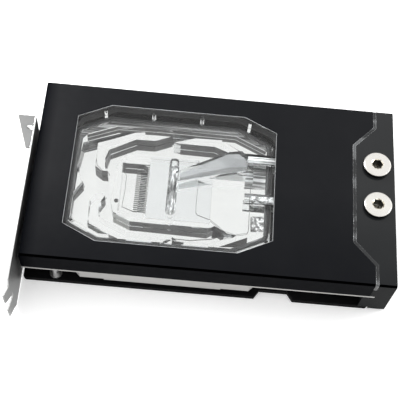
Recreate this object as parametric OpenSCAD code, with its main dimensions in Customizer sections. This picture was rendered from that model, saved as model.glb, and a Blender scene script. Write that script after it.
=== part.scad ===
// Full-cover water block for a two-slot graphics card, with its back plate and slot bracket.
// X runs along the card from the bracket to the coolant ports, Y from the slot edge to the
// card's top edge, and Z upwards. The block lies on its back plate. The pieces are written from
// the bracket's inner face and the cover's front edge, and place() centres them over the origin.

/* [Cover] */
// Length of the cover and the terminal block together
cover_length = 222.2; // [218:0.1:240]
// Width of the cover across the card
cover_width = 123.4; // [121:0.1:132]
// Height of the cover's top face over the table
cover_top = 35; // [34.5:0.1:38]
// Thickness of the cover's top and of its skirt
cover_wall = 3; // [2.4:0.1:3.2]
// Height of the skirt, from the cold plate to the cover's top face
skirt_height = 16; // [15.8:0.1:17]
// Chamfer along the two long top edges
cover_chamfer = 1.2; // [0.4:0.1:1.8]
// Gap between the bracket and the cover
bracket_gap = 2.2; // [1.4:0.1:4]
// Radius of the screw bosses inside the cover
boss_radius = 3.5; // [3:0.1:4]
// Distance of the screw bosses from the cover's ends
boss_inset_x = 9; // [8:0.1:10]
// Distance of the screw bosses from the cover's long sides
boss_inset_y = 9; // [8:0.1:10]

/* [Window] */
// Length of the window along the card
window_length = 125.8; // [118:0.1:130]
// Width of the window across the card
window_width = 96.8; // [95:0.1:98]
// Distance from the cover's left end to the window
window_start = 22.2; // [20:0.1:24]
// Length that each cut corner of the window takes off along the card
window_corner_x = 20.6; // [16:0.1:24]
// Length that each cut corner of the window takes off across the card
window_corner_y = 10.2; // [8:0.1:12]
// Gap round the acrylic in the window
window_gap = 0.15; // [0.1:0.05:0.3]
// Depth of the acrylic's face below the cover's top
window_recess = 0.4; // [0.2:0.1:0.8]

/* [Terminal] */
// Distance of the clear strip from the block's right end
strip_from_end = 11.8; // [11:0.1:13]
// How far the middle of the strip steps in from its ends
strip_step = 13.3; // [12:0.1:14]
// Distance across the card between the strip's outer bends
strip_outer_span = 96.8; // [94:0.1:100]
// Distance across the card between the strip's inner bends
strip_inner_span = 68.2; // [66:0.1:70]
// Width of the clear strip
strip_width = 2; // [1.4:0.1:2.4]
// Height of the strip's ends on the front and back faces
strip_end_height = 6.5; // [5:0.1:8]
// Distance between the two coolant ports
port_spacing = 28.4; // [26:0.1:30]
// Distance of the ports from the block's right end
port_from_end = 11.2; // [10.8:0.1:12]
// How far the pair of ports sits off the cover's middle line
port_offset = 5.9; // [4:0.1:8]
// Depth of the port thread
port_depth = 10; // [9.5:0.1:11]
// Radius of the port thread
port_radius = 6.58; // [6.4:0.01:6.7]
// Radius of the coolant passages between ports and manifold
passage_radius = 3.9; // [3.4:0.1:4]
// Distance of the terminal block's outer screws from the cover's long sides
terminal_screw_inset = 13.8; // [12:0.1:16]
// Length of the terminal block's body inboard of the ports
terminal_inboard = 9.8; // [9:0.1:10.5]
// Length of the wall that closes the right end below the cover
end_wall_length = 16.9; // [15:0.1:17.5]
// Height of the end wall's foot over the table
end_wall_lift = 1.3; // [0.5:0.1:2]

/* [Port plugs] */
// Diameter of a plug's head
plug_head_d = 17; // [16.4:0.1:18]
// Height of a plug's head
plug_head_h = 3; // [2.4:0.1:3.6]
// Length of a plug's thread
plug_thread_length = 7.5; // [6:0.1:9]
// Width across the flats of the hexagon socket
plug_socket = 6; // [5:0.1:6.4]
// Depth of the hexagon socket
plug_socket_depth = 6; // [4:0.1:6.5]

/* [Cold plate] */
// Thickness of the flange that carries the cover and the manifold
flange_thickness = 1.5; // [1.2:0.1:1.8]
// Depth of the cold plate's core below the flange
core_depth = 8; // [7.4:0.1:8.2]
// Height of the raised pads under the core
raised_pad = 1.3; // [0.8:0.1:1.5]
// Width of one micro fin slot
fin_gap = 0.7; // [0.5:0.05:0.8]
// Distance from one micro fin to the next
fin_pitch = 1.4; // [1.2:0.05:2]
// Depth of the micro fin slots
fin_depth = 3.5; // [2.5:0.1:4.5]
// Length of the fin field along the card
fin_field_length = 46; // [42:0.5:50]
// Width of the fin field across the card
fin_field_width = 36; // [30:0.5:38]
// Distance from the bracket to the middle of the fin field
die_x = 87.5; // [84:0.1:90]
// How far the middle of the fin field sits in front of the cover's middle line
die_offset = 4.7; // [3:0.1:6]

/* [Manifold] */
// Depth of the coolant channels in the acrylic
channel_depth = 6; // [5:0.1:6.5]
// Thickness of the jet plate
jet_plate_thickness = 1; // [0.6:0.1:1.4]
// Width of the jet slot
jet_slot_width = 4.6; // [3:0.1:5]
// Length of the jet slot
jet_slot_length = 39; // [34:0.5:41]
// Section radius of the main O-ring
main_ring_radius = 1.5; // [1.2:0.1:1.6]
// Distance of the manifold screws from the cover's long sides
manifold_screw_inset = 14; // [13.6:0.1:14.4]
// Distance from one manifold screw to the next
manifold_screw_pitch = 31; // [29:0.1:32]
// Distance from the bracket to the first manifold screw
manifold_screw_start = 40.6; // [39:0.1:42]

/* [Back plate] */
// Thickness of the back plate
back_thickness = 3.5; // [3:0.1:4]
// Distance from the block's right end to the back plate
back_inset_right = 10.6; // [10:0.1:12]
// Width of the slot latch notch at its mouth
notch_width = 23.9; // [22:0.1:28]
// Depth of the slot latch notch
notch_depth = 4.9; // [4:0.1:5.2]
// Distance from the bracket to the notch
notch_start = 143.2; // [142:0.1:146]
// Distance between the board screws round the processor
board_pitch = 64; // [62:0.5:70]
// Radius of the holes for the board screws
board_hole_radius = 1.6; // [1.5:0.1:1.8]
// Radius of a spacer's body
spacer_radius = 2.4; // [2.3:0.1:2.8]
// Radius of a spacer's foot
spacer_foot_radius = 3.8; // [3.4:0.1:4]
// Height of a spacer's foot
spacer_foot_height = 1.2; // [0.8:0.1:1.6]

/* [Bracket] */
// Thickness of the bracket's sheet
bracket_thickness = 0.86; // [0.8:0.01:1]
// Width of one slot cover
slot_width = 18.42; // [18.3:0.01:18.5]
// Distance from one slot to the next
slot_pitch = 20.32; // [20.3:0.01:20.4]
// Distance from the cover's front edge to the bracket's flange
flange_y = 93.8; // [92:0.1:95]
// Length of the bracket from its flange to the ends of its tongues
bracket_length = 120.02; // [119.8:0.01:120.2]
// Length of the tongues
tongue_length = 8.5; // [7.5:0.1:9]
// Width of one tongue
tongue_width = 10.19; // [10:0.01:10.3]
// Distance from a slot cover's lower edge to its tongue
tongue_inset = 2.5; // [2.3:0.1:3]
// How far the tongues lean outwards
tongue_lean = 2; // [1.5:0.1:2.4]
// Depth of the flange that the case screws hold
flange_depth = 11.43; // [11:0.01:12]
// Radius of the case screw holes
case_hole_radius = 2.2; // [2.1:0.05:2.3]
// Distance from the bracket's face to the case screw holes
case_hole_x = 5.4; // [5:0.1:6]
// Height of a case screw hole over its slot cover's lower edge
case_hole_z = 5.3; // [4.5:0.1:9.2]
// Height of the bracket's lower edge over the table
bracket_lift = 1.1; // [0.4:0.1:1.6]
// Width of the bracket's fixing tabs
tab_width = 12; // [10:0.5:14]
// Distance of the fixing tabs from the cover's front edge and from the flange
tab_inset = 14; // [12:0.5:20]
// Length of the bracket's fixing tabs
tab_length = 10; // [9:0.5:12]

/* [Screws and pads] */
// Nominal radius of the manifold and cover screws
screw_radius = 1.5; // [1.4:0.05:1.6]
// Radius of a screw's head
screw_head_radius = 2.75; // [2.6:0.05:2.9]
// Height of a screw's head
screw_head_height = 2; // [1.6:0.1:2.2]
// Radius of the small screws in the terminal block and the bracket
small_screw_radius = 1.15; // [1:0.05:1.2]
// Radius of a small screw's head
small_head_radius = 2; // [1.8:0.05:2]
// Height of a small screw's head
small_head_height = 1.4; // [1.2:0.1:1.6]
// Length of thread that a screw has in its hole
thread_length = 6; // [5:0.1:6.5]
// Depth of the threaded holes
thread_hole_depth = 8; // [7:0.1:9]
// Width across the flats of the screws' hexagon sockets
hex_key = 2; // [1.8:0.1:2.2]
// Depth of the screws' hexagon sockets
hex_depth = 1.1; // [0.8:0.05:1.15]
// Section radius of the small O-rings
small_ring_radius = 0.7; // [0.6:0.05:0.75]
// Thickness of the soft thermal pads
pad_thickness = 1; // [0.8:0.1:1.2]
// Length of one memory pad
memory_pad_length = 14; // [12:0.5:15]
// Width of one memory pad
memory_pad_width = 11; // [10:0.5:12]
// Distance along the card from the processor to the memory pads beside it
memory_side_x = 31; // [30:0.1:33]
// Distance from one memory pad to the next beside the processor
memory_side_pitch = 18; // [16:0.1:18.5]
// Distance across the card from the processor to the memory pads behind it
memory_back_y = 42; // [40:0.1:42.5]
// Distance from one memory pad to the next behind the processor
memory_back_pitch = 17; // [15:0.1:17.5]
// Distance from the cover's front edge to the memory pads in front
memory_front_y = 10; // [9.5:0.1:11]
// Distance between the two rows of regulators
regulator_spacing = 87; // [84:0.1:88]
// Length of a regulator pad across the card
regulator_pad_length = 70; // [60:0.5:74]
// Width of a regulator pad
regulator_pad_width = 9; // [7:0.1:9]
// Running clearance between fitted pieces
clearance = 0.1; // [0.05:0.01:0.15]

/* [Hidden] */
$fn = 48;
eps = 0.01;

// Levels over the table
plate_z = cover_top - skirt_height;
ceiling_z = cover_top - cover_wall;
flange_z = plate_z - flange_thickness;
core_z = flange_z - core_depth;
raised_z = core_z - raised_pad;
manifold_seat_z = flange_z - 2;
passage_z = ceiling_z - passage_radius - 1.7;
acrylic_face_z = cover_top - window_recess;

// Places along and across the card
cover_x0 = bracket_gap;
cover_x1 = cover_x0 + cover_length;
mid_y = cover_width / 2;
die_y = mid_y - die_offset;
strip_x = cover_x1 - strip_from_end;
port_x = cover_x1 - port_from_end;
port_y = [mid_y + port_offset + port_spacing / 2, mid_y + port_offset - port_spacing / 2];
terminal_x0 = port_x - terminal_inboard;
window_x0 = cover_x0 + window_start;
window_x1 = window_x0 + window_length;
skirt_inner = cover_wall + 2 * clearance;
manifold_x0 = cover_x0 + skirt_inner;
manifold_cut = 20;
end_wall_x = cover_x1 - end_wall_length;
flange_x1 = cover_x1 - strip_from_end + 2;
back_x0 = cover_x0 - 0.7;
back_x1 = cover_x1 - back_inset_right;
bracket_height = slot_pitch + slot_width;
bracket_y0 = flange_y - bracket_length;
fin_slots = floor(fin_field_width / fin_pitch);

// The origin lies under the middle of the whole block's box
origin_x = (cover_x1 - flange_depth) / 2;
origin_y = (cover_width + bracket_y0) / 2;

// Screw places
boss_points = [for (x = [cover_x0 + boss_inset_x, terminal_x0 - boss_inset_x + 2.6],
    y = [boss_inset_y, cover_width - boss_inset_y]) [x, y]];
manifold_points = [for (i = [0:4], y = [manifold_screw_inset, cover_width - manifold_screw_inset])
    [manifold_screw_start + i * manifold_screw_pitch, y]];
terminal_points = [for (y = [terminal_screw_inset, mid_y + port_offset, cover_width - terminal_screw_inset])
    [end_wall_x - small_head_radius - clearance, y]];
spacer_points = [[cover_x0 + 18.8, 4.5], [cover_x0 + 18.8, cover_width - 4.5],
    [terminal_x0 - 10.5, 18], [terminal_x0 - 10.5, cover_width - 18]];
board_points = [for (x = [-1, 1], y = [-1, 1]) [die_x + x * board_pitch / 2, die_y + y * board_pitch / 2]];
tab_y = [tab_inset, flange_y - tab_inset - tab_width + 4];
tab_points = [for (y = tab_y) [tab_length - 3.8, y + tab_width / 2]];
board_tap_radius = board_hole_radius - 0.35;
board_tap_depth = 5;
stub_height = 0.8;

// Memory and regulator pads round the processor
memory_points = concat(
    [for (s = [-1, 1], i = [-1:1]) [die_x + s * memory_side_x, die_y + i * memory_side_pitch]],
    [for (i = [-1.5:1.5]) [die_x + i * memory_back_pitch, die_y + memory_back_y]],
    [for (i = [-1:1]) [die_x + i * memory_side_x, memory_front_y]]);
regulator_x = [die_x - regulator_spacing / 2, die_x + regulator_spacing / 2];

// Channel pattern on the manifold's underside, with y measured from the cover's middle line
channel_field = [[27.5, -30.7], [27.5, -13.2], [32.5, -5.2], [27.5, 4.8], [29.5, 22.3], [48, 29.8],
    [58, 33.8], [115, 33.8], [131, 24.3], [137, 18.3], [137, -28.2], [127, -34.7], [112, -40.2], [46, -40.2]];
upper_left_land = [[38.5, 22.9], [38.6, 6.5], [43.2, 3], [46.6, 3.4], [44.2, 12], [45.9, 18.4],
    [62.1, 27.9], [74, 28.1], [84.5, 32.6], [84.5, 36.3], [61, 32.9], [48, 26.9]];
upper_right_land = [[90.2, 27.8], [111.8, 27.7], [121.9, 23.8], [129.2, 20.4], [131.4, 23.3],
    [116.4, 33.1], [99.4, 32.8], [86, 28.3]];
centre_land = [[53.1, -24.7], [64.1, -30.2], [111, -30.2], [116, -28.8], [121.3, -32.4],
    [128.5, -33.5], [139, -30.6], [139, 4.3], [103, 4.3], [103, 16.3], [57, 16.3], [52, 8.3],
    [50.5, -15.7]];
lower_left_land = [[38.6, -33.5], [38.1, -17.8], [41, -13.9], [45.6, -12.7], [47.1, -14.1],
    [44.1, -19.9], [44.7, -28.3], [48.3, -30.6], [58.9, -35.3], [62.4, -37.2], [77.9, -37.9],
    [89.7, -43.1], [57, -42.2]];
left_outlet_x1 = 71.5;
left_outlet = [[55.5, -23.7], [55.5, 10.3], [left_outlet_x1 - 3, 10.3], [left_outlet_x1, 7.3],
    [left_outlet_x1, -23.7]];
ramp_narrow_x = die_x + 1.5;
ramp_wide_x = 133;
inlet_ramp_outline = [[ramp_narrow_x, -1.7], [ramp_narrow_x, 5.3], [121, 22.8], [ramp_wide_x - 4, 24.3],
    [ramp_wide_x, 20.3], [ramp_wide_x, 10.3], [123, 7.8]];
ramp_depth = 4;
passage_x = [ramp_wide_x - 5, 132];
jet_plate_size = [39.5, 41];
jet_plate_x = left_outlet_x1 + 1;

// Outline of the cold plate's thicker core
core_x0 = cover_x0 + 14.8;
core_x1 = terminal_x0 - 17.5;
core_front_y = 0.8;
core_inset = 9;
core_cut = 7;
core_outline = [[36.5, core_front_y], [139, core_front_y], [147, core_inset], [core_x1, core_inset],
    [core_x1, cover_width - core_inset], [core_x0 + core_cut, cover_width - core_inset],
    [core_x0, cover_width - core_inset - core_cut], [core_x0, core_inset + core_cut + 1],
    [27, core_inset + 1]];
inductor_x = 51;
inductor_pad = [71, 17];
die_size = 32;

// Thin cut or layer that runs right through a plate
module through(z0, z1) {
    translate([0, 0, z0 - eps]) linear_extrude(z1 - z0 + 2 * eps) children();
}

module layer(z0, z1) {
    translate([0, 0, z0]) linear_extrude(z1 - z0) children();
}

module place() {
    translate([-origin_x, -origin_y, 0]) children();
}

module at(points, z) {
    for (p = points) translate([p[0], p[1], z]) children();
}

function unit(v) = v / norm(v);

// Closed loop of points moved sideways by shift, with mitred corners
function moved(points, shift) =
    let (n = len(points))
    [for (i = [0:n - 1])
        let (into = unit(points[i] - points[(i - 1 + n) % n]),
            away = unit(points[(i + 1) % n] - points[i]),
            middle = unit(into + away))
        points[i] + shift / (middle * into) * [-middle[1], middle[0]]];

// Band of one width round a closed loop of points that runs anticlockwise
module loop_band(points, width) {
    difference() {
        polygon(moved(points, -width / 2));
        polygon(moved(points, width / 2));
    }
}

// Rectangle with its four corners cut off
module cut_rectangle(x0, y0, x1, y1, cut_x, cut_y) {
    polygon([[x0 + cut_x, y0], [x1 - cut_x, y0], [x1, y0 + cut_y], [x1, y1 - cut_y],
        [x1 - cut_x, y1], [x0 + cut_x, y1], [x0, y1 - cut_y], [x0, y0 + cut_y]]);
}

module window_outline(inset) {
    cut_rectangle(window_x0 + inset, mid_y - window_width / 2 + inset,
        window_x1 - inset, mid_y + window_width / 2 - inset,
        window_corner_x - 0.35 * inset, window_corner_y - 0.6 * inset);
}

// Line of the clear strip, moved sideways by shift and kept square to its bends
function strip_line(shift) =
    let (bend = atan2(strip_step, (strip_outer_span - strip_inner_span) / 2),
        slip = shift * tan(bend / 2),
        x0 = strip_x + shift,
        x1 = strip_x - strip_step + shift)
    [[x0, -eps], [x0, mid_y - strip_outer_span / 2 + slip], [x1, mid_y - strip_inner_span / 2 + slip],
        [x1, mid_y + strip_inner_span / 2 - slip], [x0, mid_y + strip_outer_span / 2 - slip],
        [x0, cover_width + eps]];

// Everything on the left or right side of the strip's line
module left_of_strip(shift) {
    polygon(concat([[cover_x0, cover_width + eps], [cover_x0, -eps]], strip_line(shift)));
}

module right_of_strip(shift) {
    polygon(concat(strip_line(shift), [[cover_x1 + eps, cover_width + eps], [cover_x1 + eps, -eps]]));
}

// Material taken off by the chamfers along both long top edges
module long_chamfers() {
    for (y = [0, cover_width]) translate([cover_x0 - 1, y, cover_top]) rotate([45, 0, 0])
        translate([0, -cover_chamfer / sqrt(2), -cover_chamfer / sqrt(2)])
            cube([cover_length + 2, cover_chamfer * sqrt(2), cover_chamfer * sqrt(2)]);
}

// Screw that points upwards from the underside of its head, with a hexagon socket
module socket_screw(radius, length, head_radius, head_height) {
    difference() {
        union() {
            translate([0, 0, -head_height]) cylinder(r = head_radius, h = head_height);
            cylinder(r = radius, h = length);
        }
        translate([0, 0, -head_height]) hexagon_socket();
    }
}

module large_screw(length) {
    socket_screw(screw_radius - clearance, length, screw_head_radius, screw_head_height);
}

module small_screw(length) {
    socket_screw(small_screw_radius, length, small_head_radius, small_head_height);
}

module hexagon_socket() {
    translate([0, 0, -eps]) cylinder(d = hex_key / cos(30), h = hex_depth, $fn = 6);
}

module cover_plate() {
    color([0.13, 0.135, 0.145]) place() difference() {
        union() {
            layer(ceiling_z, cover_top) left_of_strip(-strip_width / 2);
            layer(plate_z, ceiling_z) difference() {
                intersection() {
                    left_of_strip(-strip_width / 2);
                    translate([cover_x0, 0]) square([strip_x - strip_width / 2 - cover_x0, cover_width]);
                }
                translate([cover_x0 + cover_wall, cover_wall])
                    square([cover_length, cover_width - 2 * cover_wall]);
            }
            at(boss_points, plate_z) cylinder(r = boss_radius, h = ceiling_z - plate_z);
        }
        through(ceiling_z, cover_top) window_outline(0);
        at(boss_points, plate_z - eps) cylinder(r = screw_radius, h = thread_hole_depth);
        long_chamfers();
    }
}

module terminal_block() {
    bearing = strip_x - strip_width / 2;
    color([0.12, 0.125, 0.135]) place() difference() {
        union() {
            layer(ceiling_z, cover_top) right_of_strip(strip_width / 2);
            translate([terminal_x0, skirt_inner, plate_z])
                cube([cover_x1 - terminal_x0, cover_width - 2 * skirt_inner, ceiling_z - plate_z]);
            translate([bearing, 0, plate_z])
                cube([cover_x1 - bearing, cover_width, cover_top - strip_end_height - plate_z]);
            translate([strip_x + strip_width / 2, 0, plate_z])
                cube([cover_x1 - strip_x - strip_width / 2, cover_width, ceiling_z - plate_z]);
            translate([end_wall_x, 0, end_wall_lift])
                cube([end_wall_length, cover_width, flange_z - end_wall_lift]);
            translate([flange_x1, 0, end_wall_lift])
                cube([cover_x1 - flange_x1, cover_width, plate_z - end_wall_lift]);
        }
        translate([end_wall_x - 1, -1, 0]) cube([back_x1 + 2 * clearance - end_wall_x + 1,
            cover_width + 2, back_thickness + clearance]);
        for (y = port_y) {
            translate([port_x, y, cover_top - port_depth]) cylinder(r = port_radius, h = port_depth + 1);
            translate([terminal_x0 - 1, y, passage_z]) rotate([0, 90, 0])
                cylinder(r = passage_radius, h = port_x - terminal_x0 + 1);
            translate([terminal_x0 - 1, y, passage_z]) rotate([0, 90, 0])
                cylinder(r = passage_radius + 2 * small_ring_radius + 3 * clearance,
                    h = 1 + 2 * small_ring_radius + clearance);
        }
        at(terminal_points, plate_z - 1)
            cylinder(r = small_screw_radius + clearance, h = 1 + thread_hole_depth);
        long_chamfers();
    }
}

module accent_strip() {
    color([0.86, 0.92, 0.95]) place() difference() {
        union() {
            layer(ceiling_z, cover_top) difference() {
                right_of_strip(-strip_width / 2 + clearance / 2);
                right_of_strip(strip_width / 2 - clearance / 2);
                translate([cover_x0, -1]) square([cover_length * 2, 1]);
                translate([cover_x0, cover_width]) square([cover_length * 2, 1]);
            }
            for (y = [0, cover_width - cover_wall])
                translate([strip_x - strip_width / 2 + clearance / 2, y, cover_top - strip_end_height])
                    cube([strip_width - clearance, cover_wall, strip_end_height]);
        }
        long_chamfers();
    }
}

module acrylic_manifold() {
    color([0.85, 0.9, 0.93, 0.5]) place() difference() {
        union() {
            layer(plate_z, ceiling_z - clearance)
                cut_rectangle(manifold_x0, skirt_inner, terminal_x0, cover_width - skirt_inner,
                    manifold_cut, manifold_cut);
            layer(ceiling_z - clearance, acrylic_face_z) window_outline(window_gap);
        }
        through(plate_z, plate_z + channel_depth) translate([0, mid_y]) channels();
        through(plate_z, plate_z + jet_plate_thickness + clearance) jet_plate_outline(clearance);
        through(plate_z, passage_z + ramp_depth / 2) jet_slot(0.5);
        through(plate_z, plate_z + 2 * main_ring_radius + clearance)
            loop_band(ring_points(), 2 * (main_ring_radius + clearance));
        inlet_ramp();
        for (i = [0, 1]) translate([passage_x[i], port_y[i], passage_z]) rotate([0, 90, 0])
            cylinder(r = passage_radius, h = terminal_x0 - passage_x[i] + 1);
        at(manifold_points, plate_z - 1) cylinder(r = screw_radius, h = 1 + thread_hole_depth);
    }
}

// Open floor of the coolant channels
module channels() {
    difference() {
        polygon(channel_field);
        polygon(upper_left_land);
        polygon(upper_right_land);
        polygon(centre_land);
        polygon(lower_left_land);
    }
    polygon(left_outlet);
}

// Tapered inlet from the rear port down to the jet slot
module inlet_ramp() {
    layer(passage_z, passage_z + ramp_depth) translate([0, mid_y]) polygon(inlet_ramp_outline);
}

module jet_slot(grow) {
    for (s = [-1, 1]) translate([die_x, die_y + s * (jet_slot_length - jet_slot_width) / 2])
        circle(d = jet_slot_width + 2 * grow);
    translate([die_x - jet_slot_width / 2 - grow, die_y - (jet_slot_length - jet_slot_width) / 2])
        square([jet_slot_width + 2 * grow, jet_slot_length - jet_slot_width]);
}

module jet_plate_outline(grow) {
    translate([jet_plate_x - grow, die_y - jet_plate_size[1] / 2 - grow])
        square([jet_plate_size[0] + 2 * grow, jet_plate_size[1] + 2 * grow]);
}

module jet_plate() {
    color([0.75, 0.75, 0.76]) place() layer(plate_z, plate_z + jet_plate_thickness) difference() {
        jet_plate_outline(0);
        jet_slot(0);
    }
}

// Corners of the main O-ring's run, inside the manifold screws
function ring_points() =
    let (y0 = manifold_screw_inset + 4.4, y1 = cover_width - y0,
        x0 = window_x0 + 0.2, x1 = window_x1 - 3.6, cut_x = window_corner_x, cut_y = window_corner_y)
    [[x0 + cut_x, y0], [x1 - cut_x, y0], [x1, y0 + cut_y], [x1, y1 - cut_y],
        [x1 - cut_x, y1], [x0 + cut_x, y1], [x0, y1 - cut_y], [x0, y0 + cut_y]];

// Seal whose rounded section is built up in three layers
module main_oring() {
    shoulder = 0.55 * main_ring_radius;
    color([0.08, 0.08, 0.08]) place() translate([0, 0, plate_z]) {
        linear_extrude(2 * main_ring_radius) loop_band(ring_points(), main_ring_radius);
        translate([0, 0, shoulder]) linear_extrude(2 * (main_ring_radius - shoulder))
            loop_band(ring_points(), 2 * main_ring_radius);
    }
}

module passage_orings() {
    color([0.08, 0.08, 0.08]) place() for (y = port_y)
        translate([terminal_x0 + small_ring_radius + clearance / 2, y, passage_z]) rotate([0, 90, 0])
            rotate_extrude() translate([passage_radius + small_ring_radius + 1.5 * clearance, 0])
                circle(r = small_ring_radius);
}

// Closing plug with a flanged head, a threaded shank and a hexagon socket
module port_plug(y) {
    seat = 2 * small_ring_radius + clearance;
    edge = 0.5;
    bevel = 0.4;
    place() translate([port_x, y, cover_top]) difference() {
        union() {
            cylinder(d = plug_head_d, h = plug_head_h - edge);
            translate([0, 0, plug_head_h - edge])
                cylinder(d1 = plug_head_d, d2 = plug_head_d - 2 * edge, h = edge);
            translate([0, 0, -plug_thread_length])
                cylinder(r = port_radius - clearance, h = plug_thread_length);
        }
        translate([0, 0, -eps]) difference() {
            cylinder(r = port_radius + 2 * small_ring_radius + clearance, h = seat);
            translate([0, 0, -1]) cylinder(r = port_radius - clearance, h = seat + 2);
        }
        translate([0, 0, plug_head_h - plug_socket_depth])
            cylinder(d = plug_socket / cos(30), h = plug_socket_depth + 1, $fn = 6);
        translate([0, 0, plug_head_h - bevel])
            cylinder(d1 = plug_socket, d2 = plug_socket + 4 * bevel, h = bevel + eps);
    }
}

module plug_rear() {
    color([0.8, 0.79, 0.76]) port_plug(port_y[0]);
}

module plug_front() {
    color([0.8, 0.79, 0.76]) port_plug(port_y[1]);
}

module plug_orings() {
    color([0.08, 0.08, 0.08]) place() for (y = port_y)
        translate([port_x, y, cover_top + small_ring_radius]) rotate_extrude()
            translate([port_radius + small_ring_radius, 0]) circle(r = small_ring_radius);
}

module cold_plate() {
    color([0.72, 0.71, 0.69]) place() difference() {
        union() {
            layer(flange_z, plate_z) translate([cover_x0, 0])
                square([flange_x1 - cover_x0, cover_width]);
            layer(core_z, flange_z + eps) polygon(core_outline);
            layer(raised_z, core_z + eps) {
                translate([inductor_x, core_front_y]) square(inductor_pad);
                translate([die_x, die_y]) square(die_size, center = true);
            }
            for (p = memory_points) translate([p[0] - memory_pad_width / 2 - 0.5,
                p[1] - memory_pad_length / 2 - 0.5, raised_z])
                cube([memory_pad_width + 1, memory_pad_length + 1, raised_pad + eps]);
        }
        for (i = [0:fin_slots - 1])
            translate([die_x - fin_field_length / 2,
                die_y + (i - (fin_slots - 1) / 2) * fin_pitch - fin_gap / 2, plate_z - fin_depth])
                cube([fin_field_length, fin_gap, fin_depth + 1]);
        at(manifold_points, raised_z - 1) cylinder(r = screw_radius + clearance, h = plate_z - raised_z + 2);
        at(manifold_points, raised_z - 1)
            cylinder(r = screw_head_radius + 2 * clearance, h = manifold_seat_z - raised_z + 1);
        at(boss_points, flange_z - 1) cylinder(r = screw_radius + clearance, h = flange_thickness + 2);
        at(terminal_points, flange_z - 1)
            cylinder(r = small_screw_radius + 2 * clearance, h = flange_thickness + 2);
        at(board_points, core_z - 1) cylinder(r = board_tap_radius, h = 1 + board_tap_depth);
        at(spacer_points, flange_z - 1)
            cylinder(r = small_screw_radius + clearance, h = 1 + stub_height + clearance);
    }
}

module manifold_screws() {
    color([0.55, 0.55, 0.56]) place() at(manifold_points, manifold_seat_z)
        large_screw(plate_z - manifold_seat_z + thread_length);
}

module cover_screws() {
    color([0.55, 0.55, 0.56]) place() at(boss_points, flange_z) large_screw(flange_thickness + thread_length);
}

module terminal_screws() {
    color([0.55, 0.55, 0.56]) place() at(terminal_points, flange_z)
        small_screw(flange_thickness + thread_length);
}

module memory_pads() {
    color([0.62, 0.66, 0.72]) place() for (p = memory_points)
        translate([p[0] - memory_pad_width / 2, p[1] - memory_pad_length / 2, raised_z - pad_thickness])
            cube([memory_pad_width, memory_pad_length, pad_thickness]);
}

module regulator_pads() {
    color([0.62, 0.66, 0.72]) place() for (x = regulator_x)
        translate([x - regulator_pad_width / 2, die_y - regulator_pad_length / 2, core_z - pad_thickness])
            cube([regulator_pad_width, regulator_pad_length, pad_thickness]);
}

module back_plate() {
    slope = 3.3;
    corner = 1.2;
    color([0.1, 0.1, 0.105]) place() difference() {
        layer(0, back_thickness) difference() {
            cut_rectangle(back_x0, 0, back_x1, cover_width, corner, corner);
            polygon([[notch_start, -1], [notch_start, 0], [notch_start + slope, notch_depth],
                [notch_start + notch_width - slope, notch_depth], [notch_start + notch_width, 0],
                [notch_start + notch_width, -1]]);
        }
        at(spacer_points, -eps) countersunk_hole();
        at(board_points, -1) cylinder(r = board_hole_radius, h = back_thickness + 2);
        at(tab_points, -1) cylinder(r = small_screw_radius + clearance, h = back_thickness + 2);
    }
}

module countersunk_hole() {
    cylinder(r1 = screw_head_radius + clearance, r2 = screw_radius + clearance,
        h = screw_head_radius - screw_radius);
    cylinder(r = screw_radius + clearance, h = back_thickness + 1);
}

module back_plate_spacers() {
    color([0.7, 0.7, 0.7]) place() at(spacer_points, back_thickness) difference() {
        union() {
            cylinder(r = spacer_foot_radius, h = spacer_foot_height);
            cylinder(r = spacer_radius, h = flange_z - back_thickness);
            cylinder(r = small_screw_radius, h = flange_z - back_thickness + stub_height);
        }
        translate([0, 0, -1]) cylinder(r = screw_radius, h = 1 + thread_hole_depth);
    }
}

module back_plate_screws() {
    color([0.3, 0.3, 0.31]) place() at(spacer_points, 0) difference() {
        countersunk_body();
        hexagon_socket();
    }
}

module countersunk_body() {
    cylinder(r1 = screw_head_radius, r2 = screw_radius - clearance,
        h = screw_head_radius - screw_radius);
    cylinder(r = screw_radius - clearance, h = back_thickness + thread_length);
}

// Folded sheet of the bracket, seen along its width
module bracket_profile() {
    t = bracket_thickness;
    bend = 1.2;
    tongue_y = bracket_y0 + tongue_length - 1.5;
    polygon([[0, flange_y - bend], [0, tongue_y], [-tongue_lean, bracket_y0],
        [-tongue_lean - t, bracket_y0], [-t, tongue_y], [-t, flange_y - bend]]);
    translate([-bend, flange_y - bend]) intersection() {
        difference() {
            circle(r = bend);
            circle(r = bend - t);
        }
        square(bend);
    }
    translate([-flange_depth, flange_y - t]) square([flange_depth - bend, t]);
}

// Face of the bracket, as points across the card and upwards
module bracket_face() {
    y0 = bracket_y0;
    y1 = bracket_y0 + tongue_length;
    shoulder = y1 - 2.5;
    low = tongue_inset;
    high = slot_pitch + tongue_inset;
    valley = (low + tongue_width + high) / 2;
    polygon([[flange_y + 1, 0], [flange_y + 1, bracket_height], [y1, bracket_height],
        [shoulder, high + tongue_width], [y0, high + tongue_width], [y0, high], [y1 + 1, valley],
        [y0, low + tongue_width], [y0, low], [shoulder, low], [y1, 0]]);
}

module slot_bracket() {
    color([0.74, 0.75, 0.76]) place() translate([0, 0, bracket_lift]) difference() {
        union() {
            intersection() {
                linear_extrude(bracket_height) bracket_profile();
                translate([-2 * flange_depth, 0, 0]) rotate([90, 0, 90])
                    linear_extrude(4 * flange_depth) bracket_face();
            }
            for (y = tab_y) translate([-bracket_thickness / 2, y, back_thickness - bracket_lift])
                cube([tab_length + bracket_thickness / 2, tab_width, bracket_thickness]);
        }
        for (i = [0, 1])
            translate([-case_hole_x, flange_y + 1, case_hole_z + i * slot_pitch]) rotate([90, 0, 0])
                cylinder(r = case_hole_radius, h = 4);
        at(tab_points, 0) cylinder(r = small_screw_radius + 2 * clearance, h = back_thickness + 2);
    }
}

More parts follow.
